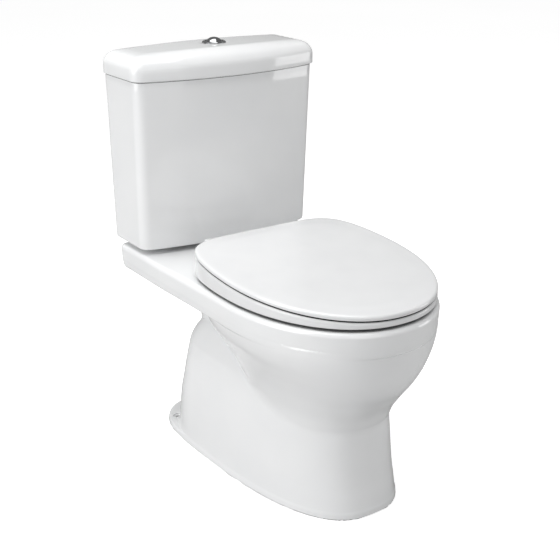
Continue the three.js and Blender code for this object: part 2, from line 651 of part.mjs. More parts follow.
both((side, direction) => {
  const [x, y] = [direction * TIE_BOLT.x, TIE_BOLT.y];
  place(`tie_bolt_${side}`, tieBolt(direction), 'steel');
  place(`tie_bolt_seal_${side}`, ringBody(4.4, 11, 412 + GAP, 420.2, x, y), 'rubber');
  place(`tie_washer_${side}`, ringBody(4.4, 12, 336.7, RIM_Z - 50 - GAP, x, y), 'rubber');
  place(`wing_nut_${side}`, wingNut(direction), 'steel');
  place(`hinge_post_${side}`, hingePost(direction), 'chrome');
  place(`hinge_damper_${side}`, hingeDamper(direction), 'plastic');
  place(`hinge_stud_${side}`, hingeStud(direction), 'steel');
  place(`hinge_sleeve_${side}`, hingeSleeve(direction), 'rubber');
  RING_BUFFERS.forEach(([end, at, alongY]) => {
    place(`ring_buffer_${end}_${side}`, ringBuffer(direction * at, alongY), 'buffer');
  });
});

place('seat_ring', seatRing(), 'seat');
place('seat_lid', seatLid(), 'seat');
LID_BUFFERS.forEach(([side, x, y]) => place(`lid_buffer_${side}`, lidBuffer(x, y), 'buffer'));

place('flush_valve_body', flushValveBody(), 'plastic');
place('flush_valve_head', flushValveHead(), 'blue');
place('overflow_tube', overflowTube(), 'plastic');
place('flush_seal', flushSeal(), 'rubber');
place('flush_lock_nut', flushLockNut(), 'plastic');

place('fill_valve_body', fillValveBody(), 'plastic');
place('fill_valve_cap', fillValveCap(), 'blue');
place('fill_valve_lever', fillValveLever(), 'plastic');
place('float_cup', floatCup(), 'plastic');
place('float_rod', floatRod(), 'plastic');
place('refill_tube', refillTube(), 'rubber');
place('inlet_washer', inletWasher(), 'rubber');
place('inlet_nut', inletNut(), 'plastic');
place('blanking_plug', blankingPlug(), 'plastic');
place('blanking_nut', blankingNut(), 'plastic');

place('button_bezel', buttonBezel(), 'chrome');
place('button_lock_nut', buttonLockNut(), 'plastic');
place('button_full', buttonHalf(true), 'chrome');
place('button_half', buttonHalf(false), 'chrome');
place('push_rod_full', pushRod(ROD_X[0]), 'plastic');
place('push_rod_half', pushRod(ROD_X[1]), 'plastic');

export default toilet;
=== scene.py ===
"""Looks for the close coupled toilet: fine glazed ware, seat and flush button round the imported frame."""
import json
import math

import bmesh
import bpy
import numpy as np
import openvdb
from mathutils import Matrix, Vector


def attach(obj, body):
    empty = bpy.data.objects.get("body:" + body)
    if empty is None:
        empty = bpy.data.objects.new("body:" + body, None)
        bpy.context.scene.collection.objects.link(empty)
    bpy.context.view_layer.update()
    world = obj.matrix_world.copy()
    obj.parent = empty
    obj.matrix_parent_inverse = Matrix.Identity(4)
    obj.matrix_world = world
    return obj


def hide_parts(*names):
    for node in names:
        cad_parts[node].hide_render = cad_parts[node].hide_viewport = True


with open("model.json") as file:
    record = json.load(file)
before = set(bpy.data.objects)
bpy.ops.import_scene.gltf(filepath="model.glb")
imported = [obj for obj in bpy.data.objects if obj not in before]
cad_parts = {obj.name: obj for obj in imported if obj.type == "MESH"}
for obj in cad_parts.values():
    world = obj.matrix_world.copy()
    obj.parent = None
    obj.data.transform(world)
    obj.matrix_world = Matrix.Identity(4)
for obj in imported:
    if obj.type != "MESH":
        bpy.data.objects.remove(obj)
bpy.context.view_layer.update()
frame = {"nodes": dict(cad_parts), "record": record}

MM = 0.001

# ---- dimensions in millimetres, the same as the frame's ------------------------------------
RIM_Z = 390.0
SHELF_BACK_Y = 318.0
WALL_Y = 338.0
WIDEST_Y = -70.0
RIM_HALF_WIDTH = 190.5
RIM_NOSE = 268.0  # from the widest place to the front of the rim
RIM_TOP_RADIUS = 9.0
SHELF_CORNER = 15.0
SHELF_SPREAD = 3.5  # how much wider the shelf is under the cistern
FOOT_CENTRE_Y = 135.0
BOWL_CENTRE_Y = -75.0
WALL = 12.0
CISTERN_BOTTOM_Z = 400.0
CISTERN_TOP_Z = 726.0
CISTERN_WALL = 9.0
LID_TOP_Z = 774.0
LID_CROWN = 6.0
LID_HALF_WIDTH = 197.5
BUTTON_Y = 255.0
BUTTON_SPLIT_X = 7.0
BUTTON_RADIUS = 16.5
BEZEL_RADIUS = 23.3
SEAT_SLOPE = 0.062
RING_BOTTOM_Z = 395.5
RING_TOP = 426.9  # sloping faces of the seat, at y = 0
SEAT_LID_BOTTOM = 429.4
SEAT_LID_TOP = 438.8
SEAT_HALF_WIDTH = 186.0
HINGE_X = 78.0
HINGE_Y = 119.0
HINGE_Z = 418.0
FLOOR_SCREW = (116.0, 241.0)
FLOOR_SCREW_PAD_Z = 10.5
INLET = (140.0, 266.0, 22.0)  # x, y and half width of the notch
TRAP_RADIUS = 27.0
TRAP_WALL = 9.0


# ---- materials ------------------------------------------------------------------------------
class Nodes:
    """A node material under construction; every surface gets its texture from here."""

    def __init__(self, name, colour, roughness, **sockets):
        self.material = bpy.data.materials.new(name)
        self.material.use_nodes = True
        self.tree = self.material.node_tree
        self.shader = self.tree.nodes["Principled BSDF"]
        self.shader.inputs["Base Color"].default_value = (*colour, 1)
        self.shader.inputs["Roughness"].default_value = roughness
        for socket, value in sockets.items():
            self.shader.inputs[socket.replace("_", " ")].default_value = value
        self.coords = self.tree.nodes.new("ShaderNodeTexCoord")

    def noise(self, scale, detail=3.0, stretch=(1, 1, 1)):
        mapping = self.tree.nodes.new("ShaderNodeMapping")
        mapping.inputs["Scale"].default_value = stretch
        texture = self.tree.nodes.new("ShaderNodeTexNoise")
        texture.inputs["Scale"].default_value = scale
        texture.inputs["Detail"].default_value = detail
        self.tree.links.new(self.coords.outputs["Object"], mapping.inputs["Vector"])
        self.tree.links.new(mapping.outputs["Vector"], texture.inputs["Vector"])
        return texture.outputs["Fac"]

    def ramp(self, fac, low, high, start=0.3, end=0.7):
        node = self.tree.nodes.new("ShaderNodeValToRGB")
        node.color_ramp.elements[0].position = start
        node.color_ramp.elements[1].position = end
        node.color_ramp.elements[0].color = (*low, 1)
        node.color_ramp.elements[1].color = (*high, 1)
        self.tree.links.new(fac, node.inputs["Fac"])
        return node.outputs["Color"]

    def spread(self, fac, low, high):
        node = self.tree.nodes.new("ShaderNodeMapRange")
        node.inputs["From Min"].default_value = 0.3
        node.inputs["From Max"].default_value = 0.7
        node.inputs["To Min"].default_value = low
        node.inputs["To Max"].default_value = high
        self.tree.links.new(fac, node.inputs["Value"])
        return node.outputs["Result"]

    def colour(self, output):
        self.tree.links.new(output, self.shader.inputs["Base Color"])

    def paint_crevice_shade(self, depth=9.0):
        """Paints shade into narrow gaps: ambient occlusion darkens the colour there; depth in millimetres."""
        hidden = self.tree.nodes.new("ShaderNodeAmbientOcclusion")
        hidden.inputs["Distance"].default_value = depth * MM
        shade = self.ramp(hidden.outputs["AO"], (0.03, 0.03, 0.03), (1, 1, 1), 0.3, 0.62)
        mix = self.tree.nodes.new("ShaderNodeMix")
        mix.data_type = "RGBA"
        mix.blend_type = "MULTIPLY"
        mix.inputs[0].default_value = 1.0
        self.tree.links.new(self.shader.inputs["Base Color"].links[0].from_socket, mix.inputs[6])
        self.tree.links.new(shade, mix.inputs[7])
        self.colour(mix.outputs[2])

    def roughness(self, output):
        self.tree.links.new(output, self.shader.inputs["Roughness"])

    def bumps(self, *layers):
        """Each layer is a height output and how high it stands, in millimetres."""
        normal = None
        for height, depth in layers:
            bump = self.tree.nodes.new("ShaderNodeBump")
            bump.inputs["Distance"].default_value = depth * MM
            self.tree.links.new(height, bump.inputs["Height"])
            if normal:
                self.tree.links.new(normal, bump.inputs["Normal"])
            normal = bump.outputs["Normal"]
        self.tree.links.new(normal, self.shader.inputs["Normal"])


def glaze():
    """Vitreous china: a thick clear glaze with faint waves over a white body."""
    nodes = Nodes("glaze", (0.84, 0.845, 0.85), 0.08, IOR=1.52, Coat_Weight=0.35, Coat_Roughness=0.03)
    nodes.colour(nodes.ramp(nodes.noise(9.0, 2.0), (0.825, 0.832, 0.838), (0.85, 0.855, 0.858)))
    # painted shade: ambient occlusion darkens the glaze colour in narrow gaps
    nodes.paint_crevice_shade()
    nodes.roughness(nodes.spread(nodes.noise(160.0, 4.0), 0.06, 0.11))
    nodes.bumps((nodes.noise(26.0, 1.0), 0.05), (nodes.noise(420.0, 2.0), 0.0025))
    return nodes.material


def seat_plastic():
    """Moulded urea resin: hard, white and polished, with a fine grain."""
    nodes = Nodes("seat_resin", (0.76, 0.765, 0.77), 0.16, IOR=1.5, Coat_Weight=0.25, Coat_Roughness=0.06)
    nodes.colour(nodes.ramp(nodes.noise(14.0, 2.0), (0.745, 0.75, 0.755), (0.77, 0.774, 0.778)))
    # painted shade: ambient occlusion darkens the resin colour in narrow gaps
    nodes.paint_crevice_shade(7.0)
    nodes.roughness(nodes.spread(nodes.noise(300.0, 4.0), 0.13, 0.2))
    nodes.bumps((nodes.noise(900.0, 3.0), 0.003), (nodes.noise(18.0, 1.0), 0.02))
    return nodes.material


def chrome():
    nodes = Nodes("chrome", (0.32, 0.325, 0.33), 0.05, Metallic=1.0)
    nodes.colour(nodes.ramp(nodes.noise(60.0, 2.0), (0.3, 0.305, 0.31), (0.34, 0.345, 0.35)))
    nodes.roughness(nodes.spread(nodes.noise(700.0, 5.0), 0.03, 0.1))
    nodes.bumps((nodes.noise(1500.0, 3.0), 0.001))
    return nodes.material


def moulded(name, low, high, roughness, grain=600.0, depth=0.01, **sockets):
    """Moulded plastic or rubber with its grain and slight unevenness of colour."""
    nodes = Nodes(name, high, roughness, **sockets)
    nodes.colour(nodes.ramp(nodes.noise(35.0, 3.0), low, high))
    nodes.roughness(nodes.spread(nodes.noise(grain / 2, 4.0), roughness - 0.07, roughness + 0.07))
    nodes.bumps((nodes.noise(grain, 4.0), depth))
    return nodes.material


FINISHES = {
    "vitreous_china": glaze(),
    "seat_plastic": seat_plastic(),
    "chrome": chrome(),
    "valve_plastic": moulded("valve_plastic", (0.7, 0.71, 0.72), (0.76, 0.77, 0.78), 0.42, IOR=1.5),
    "blue_plastic": moulded("blue_plastic", (0.035, 0.14, 0.36), (0.05, 0.18, 0.42), 0.4),
    "black_rubber": moulded("black_rubber", (0.014, 0.014, 0.015), (0.026, 0.026, 0.027), 0.75, 400.0, 0.03),
    "buffer_rubber": moulded("buffer_rubber", (0.62, 0.62, 0.61), (0.7, 0.7, 0.69), 0.6, 500.0, 0.02),
    "steel": moulded("steel", (0.42, 0.42, 0.43), (0.56, 0.56, 0.57), 0.3, 900.0, 0.004, Metallic=1.0),
}


def dress(obj, slot, body, *nodes):
    """Gives a piece its finish, the body it rides on and the frame nodes it stands for."""
    obj.data.materials.clear()
    obj.data.materials.append(FINISHES[slot])
    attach(obj, body)
    if nodes:
        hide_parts(*nodes)
    return obj


# ---- mesh helpers ---------------------------------------------------------------------------
def mesh_object(name, vertices, faces, sharp=None):
    """Vertices in millimetres; edges steeper than sharp degrees stay crisp."""
    mesh = bpy.data.meshes.new(name)
    mesh.from_pydata((np.asarray(vertices) * MM).tolist(), [], faces)
    mesh.validate()
    mesh.polygons.foreach_set("use_smooth", [True] * len(mesh.polygons))
    if sharp:
        mesh.set_sharp_from_angle(angle=math.radians(sharp))
    obj = bpy.data.objects.new(name, mesh)
    bpy.context.scene.collection.objects.link(obj)
    return obj


def skin(name, rings, closed=False, caps=(False, False), sharp=40):
    """One surface through rings of equal numbers of points."""
    rings = [np.asarray(ring, float) for ring in rings]
    count, rows = len(rings[0]), len(rings)
    vertices = np.concatenate(rings)
    faces = []
    for row in range(rows if closed else rows - 1):
        after = (row + 1) % rows
        for i in range(count):
            j = (i + 1) % count
            faces.append((row * count + i, row * count + j, after * count + j, after * count + i))
    if caps[0]:
        faces.append(tuple(range(count - 1, -1, -1)))
    if caps[1]:
        faces.append(tuple(range((rows - 1) * count, rows * count)))
    obj = mesh_object(name, vertices, faces, None)
    work = bmesh.new()
    work.from_mesh(obj.data)
    bmesh.ops.recalc_face_normals(work, faces=work.faces)
    work.to_mesh(obj.data)
    work.free()
    obj.data.set_sharp_from_angle(angle=math.radians(sharp))
    return obj


def lathe(name, profile, centre, along="z", sides=64, closed=False, sharp=40):
    """Turned body: profile is (radius, distance along the axis) pairs."""
    turns = np.arange(sides) * 2 * math.pi / sides
    rings = []
    for radius, distance in profile:
        radius = max(radius, 0.02)
        across, up, axis = radius * np.cos(turns), radius * np.sin(turns), np.full(sides, distance)
        if along == "z":
            ring = np.stack([across + centre[0], up + centre[1], axis], 1)
        else:
            ring = np.stack([axis + centre[0], across + centre[1], up + centre[2]], 1)
        rings.append(ring)
    return skin(name, rings, closed, (not closed, not closed), sharp)


def rounded(corners, radius, steps=4):
    """A profile whose inner corners are turned into short arcs."""
    points = [np.array(c, float) for c in corners]
    result = [points[0]]
    for before, here, after in zip(points, points[1:], points[2:]):
        inward, outward = before - here, after - here
        reach = min(radius, np.linalg.norm(inward) * 0.45, np.linalg.norm(outward) * 0.45)
        start = here + inward / np.linalg.norm(inward) * reach
        end = here + outward / np.linalg.norm(outward) * reach
        for step in range(steps + 1):
            t = step / steps
            result.append((1 - t) ** 2 * start + 2 * t * (1 - t) * here + t * t * end)
    result.append(points[-1])
    return result


def monotone(knots, values, at):
    """Smooth curve through the knots that doesn't overshoot them."""
    knots, values = np.asarray(knots, float), np.asarray(values, float)
    gaps = np.diff(knots)
    rise = np.diff(values) / gaps
    slope = np.empty(len(knots))
    slope[0], slope[-1] = rise[0], rise[-1]
    same = rise[:-1] * rise[1:] > 0
    safe = np.where(same, rise[:-1] + rise[1:], 1)
    slope[1:-1] = np.where(same, 2 * rise[:-1] * rise[1:] / safe, 0)
    at = np.clip(at, knots[0], knots[-1])
    i = np.clip(np.searchsorted(knots, at) - 1, 0, len(gaps) - 1)
    t = (at - knots[i]) / gaps[i]
    cubic, square = t ** 3, t ** 2
    return (
        (2 * cubic - 3 * square + 1) * values[i] + (cubic - 2 * square + t) * gaps[i] * slope[i]
        + (3 * square - 2 * cubic) * values[i + 1] + (cubic - square) * gaps[i] * slope[i + 1]
    )


# ---- pan: a smooth field, negative in the ware, and the surface where it is nought ----------
# Rows: height, half width, length forward and back of the centre (and the power at the back).
BASE_ROWS = np.array([
    [-6, 148.2, 405.3, 176.5, 3.0], [0, 148, 405, 176, 3.0], [8, 147.4, 404.3, 175, 3.0],
    [12, 146.6, 403.5, 172, 3.0], [15, 145.9, 402.5, 140, 2.5], [36, 145, 398, 127, 2.4],
    [60, 144.5, 392, 124, 2.4], [100, 143, 386.5, 119, 2.3], [150, 139, 382.5, 104, 2.2],
    [190, 132, 377, 96, 2.2], [220, 125.5, 365, 91, 2.2], [242, 121.5, 354, 88, 2.2],
    [270, 118, 342, 85, 2.2],
])
COLUMN_TOP_Z = 268.0
SHOULDER_RADIUS = 60.0  # the column's wall rolls over into its top
BOWL_ROWS = np.array([
    [10, 30, 40, 10], [60, 50, 80, 25], [112, 80, 126, 48], [140, 101, 158, 72], [161, 113, 171, 90],
    [190, 117, 184, 112], [226, 128, 209, 150], [260, 143, 234, 190], [290, 160, 247.5, 220],
    [318, 177, 252, 238], [346, 184.3, 254, 250], [356, 184.5, 254, 250],
])
HOLLOW_ROWS = np.array([
    [92, 18, 20, 20], [125, 42, 52, 50], [160, 60, 84, 64], [190, 80, 132, 84], [225, 108, 188, 110],
    [262, 130, 220, 138], [310, 156, 237, 165], [358, 168, 245, 176], [368, 150, 232, 160],
])
NECK_ROWS = np.array([
    [235, 92, 160, 98], [262, 94, 160, 102], [300, 92, 160, 96], [325, 94, 160, 95], [345, 104, 160, 104],
])
UNDER_ROWS = np.array([
    [-5, 134, 388, 122], [60, 132, 379, 112], [100, 131, 373, 106], [150, 125, 364, 92], [200, 113, 345, 80],
    [228, 94, 300, 74], [245, 80, 200, 84], [326, 80, 150, 82],
])
TRAP_PATH = np.array([
    [-75, 124], [-25, 112], [20, 128], [62, 170], [106, 204], [148, 206], [182, 180],
    [188, 142], [166, 92], [130, 48], [118, 10], [118, -20],
])


class Egg:
    """Superelliptic sections whose size changes smoothly with height."""

    def __init__(self, rows, centre_y, front_power, back_power, grow=0.0, soften=1):
        heights = np.arange(rows[0, 0], rows[-1, 0] + 0.25, 0.25)
        self.heights = heights
        self.columns = []
        window = np.hanning(2 * soften + 1)
        for column in rows.T[1:]:
            padded = np.pad(monotone(rows[:, 0], column, heights), soften, mode="edge")
            self.columns.append(np.convolve(padded, window / window.sum(), "valid"))
        self.centre_y, self.front_power, self.back_power, self.grow = centre_y, front_power, back_power, grow

    def gauge(self, x, y, z):
        columns = [np.interp(z, self.heights, column) for column in self.columns]
        width, front, back = (column + self.grow for column in columns[:3])
        back_power = columns[3] if len(columns) > 3 else self.back_power
        along = y - self.centre_y
        ahead = along < 0
        power = np.where(ahead, self.front_power, back_power)
        length = np.where(ahead, front, back)
        a, b = np.abs(x) / width + 1e-9, np.abs(along) / length + 1e-9
        g = (a ** power + b ** power) ** (1 / power)
        gx = np.sign(x) * (a / g) ** (power - 1) / width
        gy = np.sign(along) * (b / g) ** (power - 1) / length
        return g, gx, gy

    def __call__(self, x, y, z):
        """Distance from the surface, and its direction."""
        g, gx, gy = self.gauge(x, y, z)
        gz = self.gauge(x, y, z + 1.0)[0] - g
        steep = np.sqrt(gx * gx + gy * gy + gz * gz) + 1e-9
        return (g - 1) / steep, (gx / steep, gy / steep, gz / steep)


def round_union(a, b, radius):
    """Both bodies, with a concave fillet where they meet."""
    corner = np.hypot(np.maximum(radius - a, 0), np.maximum(radius - b, 0))
    return np.maximum(np.minimum(a, b), radius) - corner


def cove(a, b, radius):
    """Union of two bodies, each a distance and its direction, with a fillet that fits their angle."""
    (da, na), (db, nb) = a, b
    turn = np.clip(na[0] * nb[0] + na[1] * nb[1] + na[2] * nb[2], -0.9, 0.995)
    ra, rb = radius - da, radius - db
    wedge = (ra > turn * rb) & (rb > turn * ra) & (ra > 0) & (rb > 0)
    reach = np.sqrt(np.maximum(ra * ra + rb * rb - 2 * turn * ra * rb, 0) / (1 - turn * turn))
    first = da < db
    direction = tuple(np.where(first, p, q) for p, q in zip(na, nb))
    return np.where(wedge, radius - reach, np.minimum(da, db)), direction


def roll_over(a, height, radius):
    """A body, as a distance and its direction, cut off at a height with a rounded shoulder."""
    distance, way = a
    side, top = np.maximum(radius + distance, 0), np.maximum(radius + height, 0)
    corner = np.hypot(side, top)
    cut = np.minimum(np.maximum(distance, height), -radius) + corner
    share = corner + 1e-9
    flat, lift = np.where(corner > 0, side / share, 1.0), np.where(corner > 0, top / share, 0.0)
    direction = (way[0] * flat, way[1] * flat, way[2] * flat + lift)
    length = np.sqrt(direction[0] ** 2 + direction[1] ** 2 + direction[2] ** 2) + 1e-9
    return cut, tuple(part / length for part in direction)


def round_common(a, b, radius):
    """What both bodies share, with a convex fillet where they meet."""
    corner = np.hypot(np.maximum(radius + a, 0), np.maximum(radius + b, 0))
    return np.minimum(np.maximum(a, b), -radius) + corner


base_part = Egg(BASE_ROWS, FOOT_CENTRE_Y, 2.6, 2.2)
bowl_part = Egg(BOWL_ROWS, BOWL_CENTRE_Y, 2.3, 2.0, soften=60)
neck_part = Egg(NECK_ROWS, FOOT_CENTRE_Y, 2.0, 2.2)
hollow_part = Egg(HOLLOW_ROWS, BOWL_CENTRE_Y, 2.3, 2.0)
hollow_shell = Egg(HOLLOW_ROWS, BOWL_CENTRE_Y, 2.3, 2.0, WALL)
under_part = Egg(UNDER_ROWS, FOOT_CENTRE_Y, 2.6, 2.2)
mouth_part = Egg(np.array([[340, 131, 175, 160], [400, 131, 175, 160]]), -111.0, 2.15, 2.3)


def shelf_plan(x, y):
    """Distance in plan from the outline of the rim and of the shelf behind it."""
    power = 2.12
    a, b = np.abs(x) / RIM_HALF_WIDTH + 1e-9, np.maximum(WIDEST_Y - y, 0) / RIM_NOSE + 1e-9
    g = (a ** power + b ** power) ** (1 / power)
    steep = np.hypot((a / g) ** (power - 1) / RIM_HALF_WIDTH, (b / g) ** (power - 1) / RIM_NOSE)
    nose = (g - 1) / steep
    half_width = RIM_HALF_WIDTH + SHELF_SPREAD * np.clip((y - WIDEST_Y) / 220, 0, 1) ** 2
    qx = np.abs(x) - (half_width - SHELF_CORNER)
    qy = y - (SHELF_BACK_Y - SHELF_CORNER)
    rear = np.hypot(np.maximum(qx, 0), np.maximum(qy, 0)) + np.minimum(np.maximum(qx, qy), 0) - SHELF_CORNER
    return np.where(y < WIDEST_Y, nose, rear)


def trap_line():
    """The centre line of the trap, as many short steps."""
    steps = np.linspace(0, 1, 6)[:-1][:, None]
    points = []
    padded = np.vstack([2 * TRAP_PATH[0] - TRAP_PATH[1], TRAP_PATH, 2 * TRAP_PATH[-1] - TRAP_PATH[-2]])
    for p0, p1, p2, p3 in zip(padded, padded[1:], padded[2:], padded[3:]):
        points.append(0.5 * (2 * p1 + (p2 - p0) * steps + (2 * p0 - 5 * p1 + 4 * p2 - p3) * steps ** 2
                             + (3 * p1 - p0 - 3 * p2 + p3) * steps ** 3))
    return np.vstack([*points, TRAP_PATH[-1:]])


TRAP_LINE = trap_line()


def trap_distance(x, y, z):
    """Distance from the trap's centre line; only worked out near the middle of the pan."""
    result = np.full(np.broadcast(x, y, z).shape, 400.0)
    near = (np.abs(x) < 60) & (y > -150) & (z < 260) & (result > 0)
    px, py, pz = (np.broadcast_to(c, result.shape)[near] for c in (x, y, z))
    best = np.full(px.shape, 1e9)
    for (y0, z0), (y1, z1) in zip(TRAP_LINE, TRAP_LINE[1:]):
        dy, dz = y1 - y0, z1 - z0
        t = np.clip(((py - y0) * dy + (pz - z0) * dz) / (dy * dy + dz * dz), 0, 1)
        best = np.minimum(best, (py - y0 - t * dy) ** 2 + (pz - z0 - t * dz) ** 2)
    result[near] = np.sqrt(best + px ** 2)
    return result


def blend_radius(y):
    """How softly the bowl runs into the column: a crease behind, a wide cove at the sides."""
    return monotone([-330, -245, -200, -150, -90, -50, -20, 30, 105], [24, 26, 40, 60, 54, 26, 9, 6, 5], y)


def pan_field(x, y, z):
    bowl, bowl_way = bowl_part(x, y, z)
    neck, neck_way = neck_part(x, y, z)
    base = roll_over(base_part(x, y, z), z - COLUMN_TOP_Z, SHOULDER_RADIUS)
    bowl = np.maximum(bowl, np.maximum(12.0 - z, z - 354.0))
    neck = np.maximum(neck, np.maximum(238.0 - z, z - 350.0))
    body = cove(base, (bowl, bowl_way), blend_radius(y))
    body = cove(body, (neck, neck_way), 9.0)[0]
    side = shelf_plan(x, y) + np.interp(z, [336, 344, 350, 360, 381], [5.2, 3.6, 2.4, 1.2, 0.0])
    shelf = round_common(round_common(side, z - RIM_Z, RIM_TOP_RADIUS), 341.0 - z, 4.5)
    under_shelf = np.interp(y, [40, 110], [2.0, 12.0])
    outside = round_union(body, shelf, under_shelf)
    trap = trap_distance(x, y, z)
    hollow = np.maximum(hollow_part(x, y, z)[0], np.maximum(92.0 - z, z - 366.0))
    mouth = np.maximum(mouth_part(x, y, z)[0], 345.0 - z)
    inside = round_union(round_union(hollow, mouth, 3.0), trap - TRAP_RADIUS, 8.0)
    shell = np.maximum(hollow_shell(x, y, z)[0], 80.0 - z)
    bosses = np.maximum(np.hypot(np.abs(x) - HINGE_X, y - HINGE_Y) - 17.0, 300.0 - z)
    kept = np.minimum(np.minimum(shell, bosses), trap - TRAP_RADIUS - TRAP_WALL)
    under = round_common(np.maximum(under_part(x, y, z)[0], z - 326.0), -kept, 5.0)
    ware = round_common(outside, -inside, 6.0)
    ware = round_common(ware, -under, 3.0)
    slot_x = np.abs(np.abs(x) - INLET[0])
    notch = np.where(y < INLET[1], np.hypot(slot_x, y - INLET[1]), slot_x) - INLET[2]
    ware = round_common(ware, -np.maximum(notch, 330.0 - z), 4.0)
    screw = np.hypot(np.abs(x) - FLOOR_SCREW[0], y - FLOOR_SCREW[1])
    dimple = np.maximum(screw - 9.0, FLOOR_SCREW_PAD_Z - z + 0.0 * x)
    ware = round_common(ware, -np.where(z < 40, dimple, 50.0), 1.2)
    ware = round_common(ware, -np.where(z < 40, screw - 4.4, 50.0), 0.5)
    return round_common(ware, -z + 0.0 * x, 1.5)


def graded(low, high, coarse, fine, places):
    """Grid lines from low to high, closer together within the places given."""
    lines = [low]
    while lines[-1] < high:
        here = lines[-1]
        step = coarse
        for start, end in places:
            gap = max(start - here, here - end, 0)
            step = min(step, fine + gap * 0.25)
        lines.append(here + step)
    return np.array(lines)


def field_gradient(points, reach=0.6):
    x, y, z = points.T
    return np.stack([
        pan_field(x + reach, y, z) - pan_field(x - reach, y, z),
        pan_field(x, y + reach, z) - pan_field(x, y - reach, z),
        pan_field(x, y, z + reach) - pan_field(x, y, z - reach),
    ], 1) / (2 * reach)


def pan_piece():
    coarse, fine = ((5.0, 1.7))
    right = graded(0.0, 198.0, coarse, fine, [(92, 126)])
    ys = graded(-345.0, 324.0, coarse, fine, [(-32, 116), (FLOOR_SCREW[1] - 10, FLOOR_SCREW[1] + 10)])
    zs = graded(-6.0, 396.0, coarse, fine, [(0, 14), (224, 296), (337, 347), (379, 390)])
    half = pan_field(right[:, None, None], ys[None, :, None], zs[None, None, :])
    field = np.concatenate([half[:0:-1], half]).astype(np.float32)
    xs = np.concatenate([-right[:0:-1], right])
    grid = openvdb.FloatGrid(background=20.0)
    grid.copyFromArray(np.clip(field, -20, 20))
    points, quads = grid.convertToQuads(isovalue=0.0)
    points = np.stack([np.interp(points[:, i], np.arange(len(c)), c) for i, c in enumerate((xs, ys, zs))], 1)
    for _ in range(2):
        value = pan_field(*points.T)
        slope = np.stack([pan_field(*(points + move).T) - value for move in np.eye(3) * 0.5], 1) / 0.5
        step = slope * (value / np.maximum((slope ** 2).sum(1), 0.2))[:, None]
        length = np.linalg.norm(step, axis=1, keepdims=True)
        points -= step * np.minimum(1, 1.5 / np.maximum(length, 1e-9))
    keep = largest_part(len(points), quads)
    remap = np.cumsum(keep) - 1
    quads = remap[quads[keep[quads[:, 0]]]]
    points = points[keep]
    pan = mesh_object("pan_ware", points, quads.tolist())
    normals = field_gradient(points)
    normals /= np.linalg.norm(normals, axis=1, keepdims=True)
    pan.data.normals_split_custom_set_from_vertices(normals.tolist())
    return pan


def largest_part(count, quads):
    """Marks the vertices of the biggest connected surface."""
    label = np.arange(count)
    while True:
        low = label[quads].min(1)
        new = label.copy()
        for corner in range(4):
            np.minimum.at(new, quads[:, corner], low)
        new = new[new]
        if (new == label).all():
            break
        label = new
    names, sizes = np.unique(label, return_counts=True)
    return label == names[sizes.argmax()]


dress(pan_piece(), "vitreous_china", "fixed", "pan_rim", "pan_bowl", "pan_pedestal")


# ---- plan outlines --------------------------------------------------------------------------
def even(points, count):
    """The same closed outline, with points at equal distances along it."""
    loop = np.vstack([points, points[:1]])
    run = np.concatenate([[0], np.cumsum(np.linalg.norm(np.diff(loop, axis=0), axis=1))])
    at = np.arange(count) * run[-1] / count
    return np.stack([np.interp(at, run, loop[:, 0]), np.interp(at, run, loop[:, 1])], 1)


def egg(width, front, back, centre_y, front_power, back_power, taper=0.0, count=240):
    angle = np.arange(6000) * 2 * math.pi / 6000 - math.pi / 2
    power = np.where(np.sin(angle) < 0, front_power, back_power)
    along = np.sign(np.sin(angle)) * np.abs(np.sin(angle)) ** (2 / power)
    across = np.sign(np.cos(angle)) * np.abs(np.cos(angle)) ** (2 / power)
    widths = width * (1 - taper * np.maximum(along, 0) ** 2)
    return even(np.stack([widths * across, centre_y + along * np.where(along < 0, front, back)], 1), count)


def seat_plan(inset):
    return egg(SEAT_HALF_WIDTH - inset, 263 - inset, 170 - inset, WIDEST_Y, 2.12, 6.0, 0.124)


def cistern_plan(part, inset, back=WALL_Y, count=280):
    """Flat back, straight sides and a bowed front, from the bottom (part 0) to the top (part 1)."""
    half = 191.5 + 6 * part - inset
    corner_y = 211 - 13 * part + inset
    bow = 21 + 5 * part
    front_r, back_r = max(22 - inset * 0.6, 6), max(12 - inset * 0.6, 5)
    span = half - front_r
    lean = math.atan(2 * bow / span)
    for _ in range(6):
        lean = math.atan(2 * (bow + front_r * (1 - math.cos(lean))) / (span + front_r * math.sin(lean)))
    end_x = span + front_r * math.sin(lean)
    end_y = corner_y + front_r * (1 - math.cos(lean))
    across = np.linspace(0, 1, 160)[:-1]
    right_front = np.stack([across * end_x, corner_y - bow + (end_y - corner_y + bow) * across ** 2], 1)
    turn = np.linspace(lean, math.pi / 2, 60)
    corner = np.stack([span + front_r * np.sin(turn), corner_y + front_r * (1 - np.cos(turn))], 1)
    turn = np.linspace(0, math.pi / 2, 40)
    rear = np.stack([half - back_r + back_r * np.cos(turn), back - back_r + back_r * np.sin(turn)], 1)
    side = np.vstack([right_front, corner, rear])
    middle = [[0, back]]
    mirrored = (side * [-1, 1])[:0:-1]
    return even(np.vstack([side, middle, mirrored]), count)


def level(plan, z):
    """A ring at height z, which is a number or a function of x and y."""
    heights = z(plan[:, 0], plan[:, 1]) if callable(z) else np.full(len(plan), float(z))
    return np.column_stack([plan, heights])


